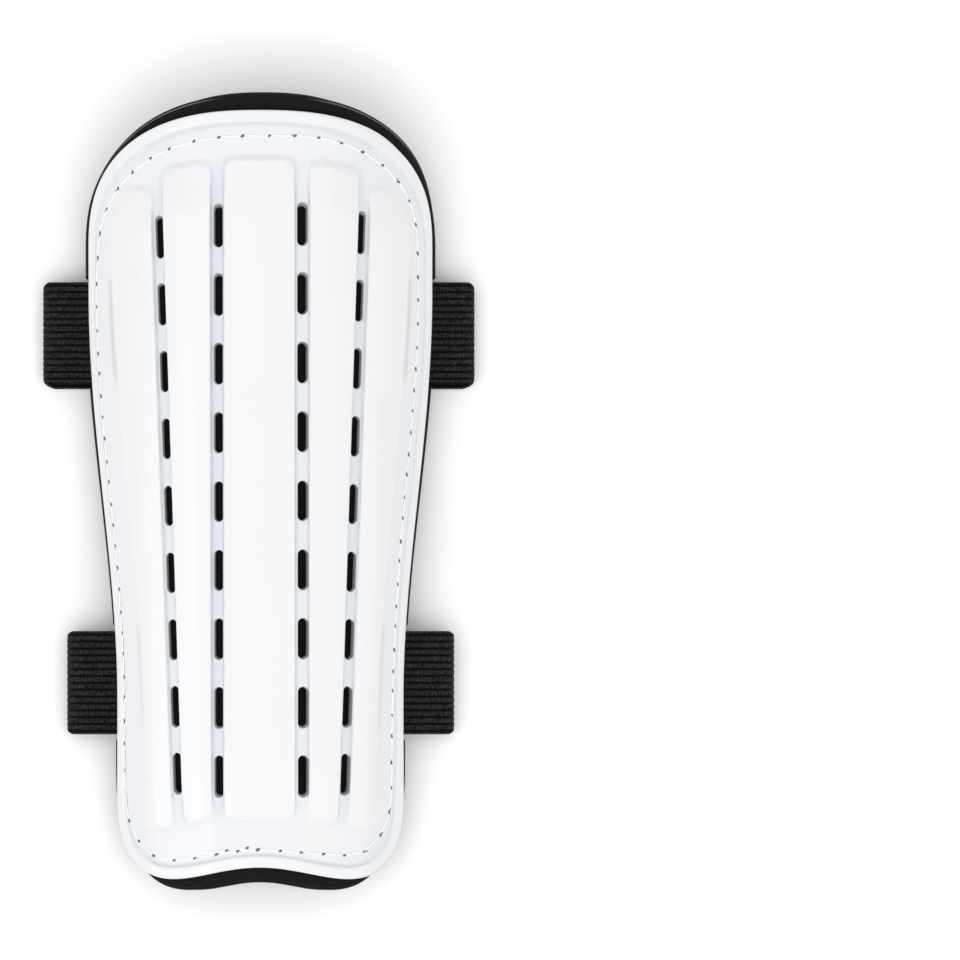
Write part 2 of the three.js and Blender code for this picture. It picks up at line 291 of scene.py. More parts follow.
def corner_ys(outline):
    low = LOW_CORNER_Y - outline["low_reach"] * 2 ** (-1 / outline["low_power"])
    top = TOP_ARCH_Y + outline["top_reach"] * 2 ** (-1 / outline["top_power"])
    return low, top


def outline_loop(outline, count=260):
    """Closed loop of (x, y) points along an outline, clockwise from the top's middle."""
    low, top = corner_ys(outline)
    side = np.linspace(top, low, count)
    top_x = np.linspace(0, side_x(outline, top), count)
    low_x = np.linspace(side_x(outline, low), 0, count)
    x = np.concatenate([top_x, side_x(outline, side)[1:-1], low_x])
    y = np.concatenate([top_y(outline, top_x), side[1:-1], low_y(outline, low_x)])
    return np.concatenate([x, -x[-2:0:-1]]), np.concatenate([y, y[-2:0:-1]])


def distance_to_loop(points, loop):
    """Distance of each point to a closed polyline."""
    spans = np.roll(loop, -1, axis=0) - loop
    lengths = np.maximum((spans ** 2).sum(1), 1e-12)
    result = []
    for part in np.array_split(points, len(points) // POINTS_AT_ONCE + 1):
        near = ((part[:, None] - loop[None]) ** 2).sum(2).argmin(1)
        best = np.inf
        for index in (near - 1, near):
            share = np.clip(((part - loop[index]) * spans[index]).sum(1) / lengths[index], 0, 1)
            gap = part - loop[index] - spans[index] * share[:, None]
            best = np.minimum(best, np.sqrt((gap ** 2).sum(1)))
        result.append(best)
    return np.concatenate(result)


def edge_distance(outline, x, y):
    """Distance of the front face's points (x, y) from an outline's edge."""
    loop = place(*outline_loop(outline), 0)
    return distance_to_loop(place(x, y, 0).reshape(-1, 3), loop).reshape(x.shape)


def layer_grid(outline, lines, rows):
    """x and y over a layer's columns, from the right half's lines (x over y) and the rows along each."""
    low_corner, top_corner = corner_ys(outline)
    right_x, right_y = [], []
    for line, line_rows in zip(lines, rows):
        low = low_y(outline, line(low_corner))
        high = top_y(outline, line(top_corner))
        right_y.append(line_rows(low, high))
        right_x.append(line(np.clip(right_y[-1], low_corner, top_corner)))
    x, y = np.stack(right_x), np.stack(right_y)
    return np.concatenate([-x[:0:-1], x]), np.concatenate([y[:0:-1], y])


def on_stations(line, y):
    return lerp(line["low"], line["top"], (y - STATION_LOW) / (STATION_TOP - STATION_LOW))


def rib_edge(name, y):
    return on_stations(RIB_EDGES[name], y)


def rib_shift(x):
    return np.interp(x, RIB_SHIFT["x"], RIB_SHIFT["shift"])


def side_rib_outer(y):
    return lerp(rib_edge("side_inner", y), side_x(SHELL_OUTLINE, y), on_stations(SIDE_RIB_SHARE, y))


# Meshes

def new_object(name, data):
    added = bpy.data.objects.new(name, data)
    bpy.context.scene.collection.objects.link(added)
    return added


def new_piece(name, points, faces, material, surface=None):
    """Mesh object from points in millimetres and arrays of faces. Unused points are dropped."""
    used = np.unique(np.concatenate([part.ravel() for part in faces]))
    number = np.zeros(len(points), int)
    number[used] = np.arange(len(used))
    rows = [row for part in faces for row in number[part].tolist()]
    mesh = bpy.data.meshes.new(name)
    mesh.from_pydata((points[used] * MM).tolist(), [], rows)
    mesh.shade_smooth()
    if surface is not None:
        values = np.zeros((len(used), 3))
        values[:, :surface.shape[1]] = surface[used]
        layer = mesh.attributes.new("surface", "FLOAT_VECTOR", "POINT")
        layer.data.foreach_set("vector", values.ravel())
    mesh.materials.append(material)
    mesh.update()
    return new_object(name, mesh)


def grid_faces(index, keep=slice(None)):
    """Quads of a grid of point numbers index[column, row], facing up."""
    quads = np.stack([index[:-1, :-1], index[1:, :-1], index[1:, 1:], index[:-1, 1:]], axis=-1)
    return quads[keep].reshape(-1, 4)


def perimeter(index):
    """Point numbers round a grid, clockwise from its top left corner."""
    return np.concatenate([index[:-1, -1], index[-1, :0:-1], index[:0:-1, 0], index[0, :-1]])


def strip(ring, following):
    """Quads between two closed rings of point numbers."""
    return np.stack([ring, following, np.roll(following, -1), np.roll(ring, -1)], axis=-1)


def numbered_rings(place_in_list, rings, sides):
    """Point numbers of one of several equal stacks of rings."""
    return place_in_list * rings * sides + np.arange(rings * sides).reshape(rings, sides)


def new_sheet(name, front, back, material, front_surface, back_surface):
    """Closed sheet between two grids of points [column, row]."""
    index = np.arange(front[..., 0].size).reshape(front.shape[:2])
    behind = index + index.size
    points = np.concatenate([front.reshape(-1, 3), back.reshape(-1, 3)])
    faces = [grid_faces(index), grid_faces(behind)[:, ::-1], strip(perimeter(behind), perimeter(index))]
    return new_piece(name, points, faces, material, np.concatenate([front_surface, back_surface]))


# Materials

def set_input(tree, socket, value):
    """Link an input from another node's output, or give it a value."""
    if isinstance(value, bpy.types.NodeSocket):
        tree.links.new(value, socket)
    else:
        socket.default_value = (*value, 1) if socket.type == "RGBA" else value


def set_inputs(tree, node, values):
    for name, value in values.items():
        set_input(tree, node.inputs[name.replace("_", " ")], value)


def new_material(name, color, roughness, **values):
    material = bpy.data.materials.new(name)
    material.use_nodes = True
    tree = material.node_tree
    shader = tree.nodes["Principled BSDF"]
    set_inputs(tree, shader, dict(values, Base_Color=color, Roughness=roughness))
    return material, tree, shader


def add_node(tree, kind, properties=(), **values):
    node = tree.nodes.new(kind)
    for name, value in dict(properties).items():
        setattr(node, name, value)
    set_inputs(tree, node, values)
    return node


def object_coordinates(tree):
    return add_node(tree, "ShaderNodeTexCoord").outputs["Object"]


def surface_values(tree):
    """What each point of a piece holds: its place on the flat cloth, or its tints."""
    return add_node(tree, "ShaderNodeAttribute", dict(attribute_name="surface")).outputs["Vector"]


def surface_shares(tree):
    """The same, as three outputs: X, Y and Z."""
    return add_node(tree, "ShaderNodeSeparateXYZ", Vector=surface_values(tree)).outputs


def noise(tree, vector, scale, detail=2, distortion=0):
    return add_node(tree, "ShaderNodeTexNoise", Vector=vector, Scale=scale, Detail=detail,
                    Distortion=distortion).outputs["Fac"]


def remap(tree, value, low, high, to_low=0, to_high=1):
    return add_node(tree, "ShaderNodeMapRange", Value=value, From_Min=low, From_Max=high,
                    To_Min=to_low, To_Max=to_high).outputs["Result"]


def mix_colors(tree, factor, first, second):
    """Mix of two colours, which may be other nodes' outputs."""
    node = add_node(tree, "ShaderNodeMix", dict(data_type="RGBA"), Factor=factor)
    sockets = [socket for socket in node.inputs if socket.type == "RGBA"]
    for socket, color in zip(sockets, (first, second)):
        set_input(tree, socket, color)
    return [socket for socket in node.outputs if socket.type == "RGBA"][0]


def bump(tree, height, strength, distance):
    return add_node(tree, "ShaderNodeBump", Height=height, Strength=strength,
                    Distance=distance).outputs["Normal"]


def shell_material():
    """White plastic with painted light and shade: raised ribs and rim a lighter white than the recessed
    margin, the channels' floors a cooler, darker white, and rib flanks and slot walls a darker grey.
    """
    material, tree, shader = new_material("shell_plastic", (0.72, 0.72, 0.726), 0.2, IOR=1.5)
    coordinates = object_coordinates(tree)
    drawn_out = add_node(tree, "ShaderNodeMapping", Vector=coordinates, Scale=(1, 0.16, 1))
    long_waves = noise(tree, drawn_out.outputs["Vector"], 150)
    cloud = noise(tree, coordinates, 35, 4)
    # Painted light and shade: raised ribs and rim take a lighter white, the recessed margin a darker, bluer
    # one
    raised = mix_colors(tree, cloud, (0.719, 0.72, 0.726), (0.739, 0.74, 0.746))
    margin = mix_colors(tree, cloud, (0.69, 0.698, 0.71), (0.716, 0.723, 0.733))
    # Painted shade: the channels' floors take a cooler, darker white
    channel_shade_color = mix_colors(tree, cloud, (0.598, 0.639, 0.688), (0.632, 0.671, 0.717))
    share = surface_shares(tree)
    base = mix_colors(tree, share["Y"], margin, channel_shade_color)
    front = mix_colors(tree, share["X"], base, raised)
    # Painted shade: rib flanks and slot walls darken towards this grey
    color = mix_colors(tree, share["Z"], front, (0.27, 0.275, 0.29))
    roughness = remap(tree, cloud, 0.3, 0.7, 0.15, 0.23)
    normal = bump(tree, long_waves, 0.12, 0.0008)
    set_inputs(tree, shader, dict(Base_Color=color, Roughness=roughness, Normal=normal))
    return material


def foam_material():
    """Black foam with a fine cell pattern: painted darker under the shell as shade, with a painted pale
    highlight line near its edge at the knee end.
    """
    material, tree, shader = new_material(
        "foam", (0.01, 0.009, 0.009), 0.6, Sheen_Weight=0.04, Specular_IOR_Level=0.05)
    coordinates = object_coordinates(tree)
    cells = add_node(tree, "ShaderNodeTexVoronoi", Vector=coordinates, Scale=2600).outputs["Distance"]
    grain = noise(tree, coordinates, 900, 4)
    share = surface_shares(tree)
    skin = mix_colors(tree, grain, (0.005, 0.0043, 0.0042), (0.0118, 0.01, 0.0097))
    # Painted shade: the foam's skin further in, under the shell and seen through the slots, is darker
    skin_in_painted_shade = mix_colors(tree, grain, (0.0, 0.0, 0.0), (0.006, 0.006, 0.006))
    skin_with_painted_shade = mix_colors(tree, share["X"], skin_in_painted_shade, skin)
    # Painted highlight: a pale line near the foam's edge at the knee end
    color = mix_colors(tree, share["Y"], skin_with_painted_shade, (0.22, 0.215, 0.21))
    set_inputs(tree, shader, dict(Base_Color=color, Normal=bump(tree, cells, 0.5, 0.0002)))
    return material


def wave(tree, vector, direction, per_unit, phase=0.0):
    """Smooth waves along one axis, so many to a unit."""
    node = add_node(tree, "ShaderNodeTexWave", dict(bands_direction=direction), Vector=vector,
                    Scale=per_unit * math.pi / 10, Phase_Offset=phase)
    return node.outputs["Fac"]


def math_node(tree, operation, first, second):
    node = add_node(tree, "ShaderNodeMath", dict(operation=operation))
    for socket, value in zip(node.inputs, (first, second)):
        set_input(tree, socket, value)
    return node.outputs["Value"]


def lining_material():
    """Knitted cloth: loops in courses and wales, so many to the millimetre."""
    dark, light = (0.01, 0.01, 0.011), (0.025, 0.025, 0.027)
    material, tree, shader = new_material(
        "lining_knit", dark, 0.85, Sheen_Weight=0.25, Sheen_Roughness=0.5, Specular_IOR_Level=0.2)
    coordinates = surface_values(tree)
    wales, courses = wave(tree, coordinates, "X", 1.4), wave(tree, coordinates, "Y", 1.2)
    loops = math_node(tree, "MULTIPLY", wales, courses)
    fuzz = noise(tree, coordinates, 6, 3)
    height = math_node(tree, "ADD", loops, math_node(tree, "MULTIPLY", fuzz, 0.5))
    color = mix_colors(tree, loops, dark, light)
    set_inputs(tree, shader, dict(Base_Color=color, Normal=bump(tree, height, 0.5, 0.0003)))
    return material


def elastic_material():
    """Ribbed elastic: mottled covering yarn on the cords, dark between them."""
    material, tree, shader = new_material(
        "elastic", (0.01, 0.01, 0.01), 0.75, Sheen_Weight=0.03, Specular_IOR_Level=0.05)
    coordinates = surface_values(tree)
    cords = remap(tree, wave(tree, coordinates, "Y", 1, math.pi), 0.06, 0.5)
    beads = wave(tree, coordinates, "X", 1.8)
    patches = add_node(tree, "ShaderNodeMapping", Vector=coordinates, Scale=(1.1, 2.0, 1))
    yarn = noise(tree, patches.outputs["Vector"], 1.7, 3, 1.2)
    weave = math_node(tree, "ADD", yarn, math_node(tree, "MULTIPLY", beads, 0.14))
    flecks = remap(tree, weave, 0.47, 0.82)
    on_cords = math_node(tree, "MULTIPLY", cords, flecks)
    base = mix_colors(tree, cords, (0.001, 0.001, 0.001), (0.004, 0.004, 0.004))
    color = mix_colors(tree, on_cords, base, (0.048, 0.048, 0.048))
    set_inputs(tree, shader, dict(Base_Color=color, Normal=bump(tree, weave, 0.7, 0.0004)))
    return material


def thread_material():
    material, tree, shader = new_material("thread", (0.9, 0.9, 0.9), 0.5, Sheen_Weight=0.3)
    fibre = noise(tree, object_coordinates(tree), 4000)
    color = mix_colors(tree, fibre, (0.84, 0.84, 0.84), (0.93, 0.93, 0.93))
    set_inputs(tree, shader, dict(Base_Color=color, Normal=bump(tree, fibre, 0.3, 0.0001)))
    return material


def hole_material():
    # Discs that close the needle holes: their dark grey stands for the hole's opening onto the black foam,
    # with the shade inside the hole painted in
    material, tree, shader = new_material("needle_hole", (0.05, 0.05, 0.055), 0.9)
    depth = noise(tree, object_coordinates(tree), 1200)
    color = mix_colors(tree, depth, (0.06, 0.06, 0.065), (0.18, 0.18, 0.19))
    set_inputs(tree, shader, dict(Base_Color=color))
    return material


# Shell

def inside_corner(across, ends, radius):
    """Distance inside a rounded corner, from the distances inside its two straight edges."""
    corner = radius - np.hypot(np.maximum(radius - across, 0), np.maximum(radius - ends, 0))
    return np.where((across < radius) & (ends < radius), corner, np.minimum(across, ends))


def rib_taper(ends):
    """Share of its height that a rib has at a distance inside its ends."""
    return lerp(RIB_END_TAPER["share"], 1, smoothstep(ends, 0, RIB_END_TAPER["length"]))


def rib_rise(height, y, ends):
    """Height on a rib's flank as a share of the rib's own height there."""
    return np.clip(height / (on_stations(RIB_HEIGHT, y) * rib_taper(ends)), 0, 1)


def rib_heights(x, y, ends):
    """Height of the ribs over (x, y), with the distance inwards from the rib ends."""
    x = np.abs(x)
    centre = rib_edge("centre_outer", y)
    inner, outer = rib_edge("middle_inner", y), rib_edge("middle_outer", y)
    side_in, side_out = rib_edge("side_inner", y), side_rib_outer(y)
    end_flank = on_stations(RIB_END_FLANK, y)
    flank = lerp(end_flank, on_stations(RIB_FLANK, y), smoothstep(ends / RIB_CORNER, 0.3, 1))
    across_corner = np.where(y > 0, SIDE_RIB_TOP_CORNER["across"], SIDE_RIB_LOW_CORNER["across"])
    along_corner = np.where(y > 0, SIDE_RIB_TOP_CORNER["along"], SIDE_RIB_LOW_CORNER["along"])
    total = np.zeros_like(x)
    for low, high, soft in ((-centre, centre, False), (inner, outer, False), (side_in, side_out, True)):
        middle = (2 * x - low - high) / (high - low)
        height = (on_stations(RIB_HEIGHT, y) + RIB_CROWN * np.clip(1 - middle ** 2, 0, 1)) * rib_taper(ends)
        if soft:
            near = inside_corner(x - low, ends, RIB_CORNER)
            far = inside_corner(high - x, ends * across_corner / along_corner, across_corner)
            far_flank = lerp(end_flank, SIDE_RIB_OUTER_FLANK, smoothstep(middle, -0.2, 0.6))
            total += height * smootherstep(near / flank + 0.5) * smootherstep(far / far_flank + 0.5)
        else:
            inside = inside_corner(np.minimum(x - low, high - x), ends, RIB_CORNER)
            total += height * smootherstep(inside / flank + 0.5)
    return total


def rounded_drop(distance, radius):
    """How far a rounded edge falls at a distance inwards from it."""
    inside = np.clip(radius - distance, 0, radius)
    return radius - np.sqrt(radius ** 2 - inside ** 2)


def rim_share(y):
    """Size of the rim at y, as a share of its size at the guard's ends."""
    return lerp(RIM_SIDE_SHARE, 1, smoothstep(np.abs(y), RIM_SIDE_Y, RIM_END_Y))


def rim_heights(distance, y):
    share = rim_share(y)
    step = 1 - smootherstep((distance / share - RIM_WIDTH) / RIM_STEP + 0.5)
    groove = np.exp(-((distance / share - RIM_GROOVE["distance"]) / RIM_GROOVE["reach"]) ** 2)
    return share * (RIM_HEIGHT * step - RIM_GROOVE["depth"] * groove) - rounded_drop(distance, RIM_ROUND)


def shell_stops():
    """Lines from the crest to the edge: x over y, y of the rib ends there and how many columns lead to it."""
    ends = {name: np.array([edge["low_end"], edge["top_end"]]) for name, edge in RIB_EDGES.items()}
    stops = [(lambda y: 0 * y, ends["centre_outer"], 0)]
    for name, (lead, inner_share, outer_share) in GRID_LINES.items():
        stops.append((partial(spread_line, name, -GRID_FLANK, inner_share), ends[name], lead))
        stops.append((partial(spread_line, name, GRID_FLANK, outer_share), ends[name], GRID_FLANK_COLUMNS))
    side_inner = stops[-1][0]

    def soft_edge(offset, limit, y):
        end = rim_line(RIM_DISTANCES[0], y)
        return np.minimum(side_rib_outer(y) + offset, lerp(side_inner(y), end, limit))

    for offset, limit, lead in SOFT_EDGE_LINES:
        stops.append((partial(soft_edge, offset, limit), ends["side_inner"], lead))
    for step, distance in enumerate(RIM_DISTANCES):
        stops.append((partial(rim_line, distance), ends["side_inner"], 1 if step else RIM_LEAD))
    return stops


def spread_line(name, offset, share, y):
    """A grid line beside a rib's edge, drawn in above the rib, where the lines would crowd."""
    line = rib_edge(name, y) + offset
    limit = share * rim_line(RIM_DISTANCES[0], y)
    return lerp(line, np.minimum(line, limit), smoothstep(y, SPREAD_START_Y, corner_ys(SHELL_OUTLINE)[1]))


def edge_line(outline, y, distance):
    """x of the line at a surface distance inside an outline's side."""
    return roll_up(unroll(side_x(outline, y), y) - distance, y)


def rim_line(distance, y):
    """x of the line at a distance inside the shell's side, drawn in with the rim."""
    return edge_line(SHELL_OUTLINE, y, distance * rim_share(y))


def shell_columns():
    """Right half's columns, from the crest out: x over y, and y of the rib ends."""
    columns = []
    stops = shell_stops()
    for (line, ends, _), (following, following_ends, count) in zip(stops, stops[1:]):
        for share in np.arange(count) / count:
            columns.append((lambda y, a=line, b=following, share=share: lerp(a(y), b(y), share),
                            lerp(ends, following_ends, share)))
    return columns + [stops[-1][:2]]


def end_rows(edge, rib_end, level_y, bridge_count):
    """y of the rows from one end of a column to where the rows run level, dense at the rim and rib end."""
    inward = np.sign(level_y - edge)
    flank = inward * END_ROWS["flank"]
    rim = edge + inward * np.array(RIM_DISTANCES[::-1])
    margin = np.linspace(rim[-1], rib_end - flank, END_ROWS["margin_count"])[1:]
    rib_flank = rib_end + np.linspace(-flank, flank, END_ROWS["flank_count"])[1:]
    bridge = np.linspace(rib_end + flank, level_y, bridge_count)[1:-1]
    return np.concatenate([rim, margin, rib_flank, bridge])


def shell_rows(ends, low, high):
    """y of the rows along one column, from its low end to its high end."""
    level = np.linspace(LEVEL_ROWS["low"], LEVEL_ROWS["top"], LEVEL_ROWS["count"])
    low_rows = end_rows(low, ends[0], level[0], END_ROWS["low_bridge_count"])
    top_rows = end_rows(high, ends[1], level[-1], END_ROWS["top_bridge_count"])
    return np.concatenate([low_rows, level, top_rows[::-1]])


def shell_grid():
    """x, y and distance inside the rib ends, over the shell's columns and rows."""
    lines, ends = zip(*shell_columns())
    x, y = layer_grid(SHELL_OUTLINE, lines, [partial(shell_rows, pair) for pair in ends])
    low, top = np.array(ends[:0:-1] + ends).T[..., None]
    return x, y, np.minimum(y - low, top - y)


def channel_x(row, y):
    return (rib_edge(row["inner"], y) + rib_edge(row["outer"], y)) / 2


def slot_rib_ends(row, x, y):
    """Distance inside the rib ends near one row of slots."""
    inner, outer = rib_edge(row["inner"], y), rib_edge(row["outer"], y)
    share = np.clip((np.abs(x) - inner) / (outer - inner), 0, 1)
    low, top = (lerp(RIB_EDGES[row["inner"]][end], RIB_EDGES[row["outer"]][end], share)
                for end in ("low_end", "top_end"))
    return np.minimum(y - low, top - y)


def slot_ring(row, slot_y, across_count, along_count, grow, slope, inward=0.0):
    """(x, y) of a ring round a slot, grown outwards, drawn out at its far end and moved to the crest.

    Its points are in the order of perimeter()."""
    half = row["half_width"] + grow
    straight = row["half_length"] - row["half_width"]
    reach = slope * SLOT_END_SLOPE["top" if slot_y > 0 else "low"] * slot_y / SLOT_END_SLOPE["at_y"]
    top, low = straight + max(reach, 0), -straight + min(reach, 0)
    turn = np.linspace(math.pi, 0, across_count + 1)
    side = np.linspace(top, low, along_count + 1)
    across = np.concatenate([half * np.cos(turn[:-1]), np.full(along_count, half),
                             half * np.cos(turn[::-1][:-1]), np.full(along_count, -half)])
    along = np.concatenate([top + half * np.sin(turn[:-1]), side[:-1],
                            low - half * np.sin(turn[:-1]), side[:0:-1]])
    sign = row["side"]
    lean = sign * (channel_x(row, slot_y + 1) - channel_x(row, slot_y))
    middle = sign * (channel_x(row, slot_y) + on_stations(row["shift"], slot_y) - inward)
    facing = normal_at(middle, slot_y)[2]
    return np.stack([middle + lean * along + across * facing, slot_y + along - lean * across])


def far_end(slot_y, across_count, along_count):
    """How far each point of a slot's ring lies in its sloped far end, from 0 to 1."""
    share = np.zeros(2 * (across_count + along_count))
    start = 0 if slot_y > 0 else across_count + along_count
    cap = np.sin(np.linspace(math.pi, 0, across_count + 1)[:-1])
    share[start:start + across_count] = cap * min(1, 2 * abs(slot_y) / SLOT_END_SLOPE["at_y"])
    return share


def cut_slot(row, slot_y, grid, keep):
    """Rings through one slot, from the front grid's window to the back grid's: (x, y), height and painted
    shade.

    The window's faces are marked as not kept."""
    x, y = grid
    middle = row["side"] * channel_x(row, slot_y)
    edges = rib_edge(row["inner"], slot_y) - GRID_FLANK, rib_edge(row["outer"], slot_y) + GRID_FLANK
    lines = row["side"] * np.array(edges)
    row_near = np.abs(y[np.abs(x[:, x.shape[1] // 2] - middle).argmin()] - slot_y).argmin()
    c0, c1 = sorted(np.abs(x[:, row_near] - line).argmin() for line in lines + rib_shift(lines))
    reach = row["half_length"] + SLOT_MARGIN
    r0 = np.searchsorted(y[c0], slot_y - reach) - 1
    r1 = np.searchsorted(y[c0], slot_y + reach)
    keep[c0:c1, r0:r1] = False
    window = np.arange(x.size).reshape(x.shape)[c0:c1 + 1, r0:r1 + 1]
    border = perimeter(window)

    def ring(grow, slope, inward=0.0):
        return slot_ring(row, slot_y, c1 - c0, r1 - r0, grow, slope, inward)

    collar = ring(SLOT_FILLET, 1)
    outer = np.stack([x.ravel()[border], y.ravel()[border]])
    rings = []
    for share in np.linspace(0, 1, SLOT_LAND_STEPS + 1)[1:]:
        land_x, land_y = land = lerp(outer, collar, share)
        rib_x = land_x - rib_shift(land_x)
        edge = rib_heights(rib_x, land_y, slot_rib_ends(row, rib_x, land_y))
        rings.append((land, edge, 0.0))
    fillet = SLOT_FILLET * (1 - far_end(slot_y, c1 - c0, r1 - r0))
    for turn in np.linspace(0, math.pi / 2, SLOT_FILLET_STEPS + 1)[1:]:
        height = edge + fillet * (math.cos(turn) - 1)
        rings.append((ring(SLOT_FILLET * (1 - math.sin(turn)), 1), height, 0.0))
    # Painted shade: the wall darkens with depth, and the collar at its foot is darkest
    for share in np.linspace(0, 1, SLOT_WALL_STEPS + 1)[1:]:
        wall = ring(-row["draft"] * share, 1 - share, SLOT_DRAFT_SHIFT * row["draft"] * share)
        height = lerp(edge - fillet, -SHELL_WALL, share ** SLOT_WALL_CURVE)
        rings.append((wall, height, min(1.0, share / SLOT_SHADE_SHARE)))
    rings.append((collar, np.full(len(border), -SHELL_WALL), 1.0))
    return border, rings


# Share of the painted channel shade at x
def channel_shade_at(x):
    return np.interp(x, CHANNEL_PAINTED_SHADE["x"], CHANNEL_PAINTED_SHADE["tint"])


def flank_shade(rise, end_distance):
    """Painted shade on a rib's flank over its rise from 0 to 1, fading towards the rib's ends."""
    fade = smoothstep(end_distance, *RIB_FLANK_SHADE["end_fade"])
    return RIB_FLANK_SHADE["dark"] * 4 * rise * (1 - rise) * fade


def build_shell(material):
    rib_x, y, end_distance = shell_grid()
    x = rib_x + rib_shift(rib_x)
    distance = edge_distance(SHELL_OUTLINE, x, y)
    from_seam = distance - stitch_inset(x, y)
    clear_of_seam = smootherstep((from_seam - SEAM_CLEARANCE["gap"]) / SEAM_CLEARANCE["blend"])
    ribs = rib_heights(rib_x, y, end_distance) * clear_of_seam
    rim = rim_heights(distance, y)
    front = place(x, y, ribs + rim)
    back = place(x, y, ribs - SHELL_WALL + rounded_drop(distance, RIM_ROUND))
    count = x.size
    index = np.arange(count).reshape(x.shape)
    points = [front.reshape(-1, 3), back.reshape(-1, 3)]
    # Painted shade: the channels' floors take the cooler, darker white, fading out past the rib ends; the
    # band outside the seam takes a little of it
    beside_channel = np.abs(rib_x) < rib_edge("side_inner", y) + CHANNEL_PAINTED_SHADE["past_rib"]
    painted_channel_shade = smoothstep(end_distance, *CHANNEL_PAINTED_SHADE["end_fade"]) * beside_channel * channel_shade_at(x)
    outside_seam = 1 - smoothstep(from_seam, *SEAM_BAND["blend"])
    tint = np.maximum(painted_channel_shade, SEAM_BAND["tint"] * outside_seam)
    rise = rib_rise(ribs, y, end_distance)
    # Painted light: raised ribs and rim take the lighter white by this share
    raised = np.clip(rise + rim / RIM_HEIGHT, 0, 1)
    # Painted shade along the ribs' flanks beside the channels
    shade = flank_shade(rise, end_distance) * beside_channel
    shares = [np.stack([raised.ravel(), tint.ravel(), shade.ravel()], axis=1), np.zeros((count, 3))]
    total = 2 * count
    keep = np.ones((x.shape[0] - 1, x.shape[1] - 1), bool)
    faces = [strip(perimeter(index + count), perimeter(index))]
    for row in SLOT_ROWS:
        for slot in range(SLOTS_PER_ROW):
            border, rings = cut_slot(row, row["top_y"] - slot * row["pitch"], (x, y), keep)
            last = border
            for (ring_x, ring_y), height, dark in rings:
                points.append(place(ring_x, ring_y, height))
                ends = slot_rib_ends(row, ring_x, ring_y)
                rise = rib_rise(height, ring_y, ends)
                # Painted shade of the slot walls, and of the ribs' flanks past the slots
                shade = np.maximum(dark, flank_shade(rise, ends))
                shares.append(np.stack([rise, channel_shade_at(ring_x), shade], axis=1))
                following = np.arange(total, total + len(border))
                faces.append(strip(last, following))
                total += len(border)
                last = following
            faces.append(strip(last, border + count))
    faces.append(grid_faces(index, keep))
    faces.append(grid_faces(index + count, keep)[:, ::-1])
    return new_piece("shell_moulding", np.concatenate(points), faces, material, np.concatenate(shares))


# Soft layers

def soft_grid(outline, rim):
    """x and y over a soft layer's columns and rows, dense towards its edge."""
    rim = np.array(rim)

    def rows(low, high):
        middle = np.linspace(low + rim[0], high - rim[0], SOFT_GRID["rows"])[1:-1]
        return np.concatenate([low + rim[::-1], middle, high - rim])

    lines = [lambda y, share=share: roll_up(share * (unroll(side_x(outline, y), y) - rim[0]), y)
             for share in np.linspace(0, 1, SOFT_GRID["half_columns"] + 1)[:-1]]
    lines += [lambda y, distance=distance: edge_line(outline, y, distance) for distance in rim]
    return layer_grid(outline, lines, [rows] * len(lines))


def unrolled(x, y):
    """(x, y) points as rows, laid flat."""
    return np.stack([unroll(x, y).ravel(), y.ravel()], axis=1)


def seam_pull(x, y, seam):
    """How far the seam draws a soft layer in over (x, y)."""
    distance = distance_to_loop(unrolled(x, y), unrolled(*seam))
    return (SEAM_PULL["depth"] * np.exp(-(distance / SEAM_PULL["reach"]) ** 2)).reshape(x.shape)


def skewed(x, y):
    """x of a soft layer's points: its knee end is sewn on a little to one side."""
    return x + PAD_SKEW["shift"] * smoothstep(y, PAD_SKEW["low_y"], PAD_SKEW["top_y"])


def build_pad(material, seam):
    x, y = soft_grid(PAD_OUTLINE, PAD_RIM)
    distance = edge_distance(PAD_OUTLINE, x, y)
    skin_step = PAD_SKIN["step"] * (1 - smootherstep((distance - PAD_SKIN["start"]) / PAD_SKIN["blend"]))
    front_drop = skin_step + strap_pockets(x, y) + rounded_drop(distance, PAD_ROUND["front"])
    back_rise = seam_pull(x, y, seam) + rounded_drop(distance, PAD_ROUND["back"])
    front = place(skewed(x, y), y, PAD_FRONT - front_drop)
    back = place(skewed(x, y), y, PAD_BACK + back_rise)
    # Painted shade: the foam is darker further in from its edge, under the shell
    unshaded = 1 - smoothstep(distance, PAD_UNSHADED["full"], PAD_UNSHADED["none"])
    # Painted highlight: a thin pale line near the foam's edge, at the knee end only
    highlight_line = np.exp(-((distance - PAD_EDGE_HIGHLIGHT["distance"]) / PAD_EDGE_HIGHLIGHT["reach"]) ** 2)
    painted_highlight = highlight_line * smoothstep(y, *PAD_EDGE_HIGHLIGHT["y"]) * smoothstep(np.abs(x), *PAD_EDGE_HIGHLIGHT["x"])
    marks = np.stack([unshaded.ravel(), painted_highlight.ravel()], axis=1)
    return new_sheet("foam_backing", front, back, material, marks, marks * 0)


def strap_pockets(x, y):
    """How far the straps' sewn ends press the foam in over (x, y)."""
    depth = np.zeros_like(x)
    inside = np.abs(x) - side_x(SHELL_OUTLINE, y) + STRAP_POCKET["reach"]
    across = smoothstep(inside, 0, STRAP_POCKET["blend"])
    for strap in STRAPS.values():
        past_edge = np.abs(y - strap["y"]) - strap["width"] / 2 - STRAP_POCKET["gap"]
        depth = np.maximum(depth, across * (1 - smoothstep(past_edge, 0, STRAP_POCKET["blend"])))
    return STRAP_POCKET["depth"] * depth


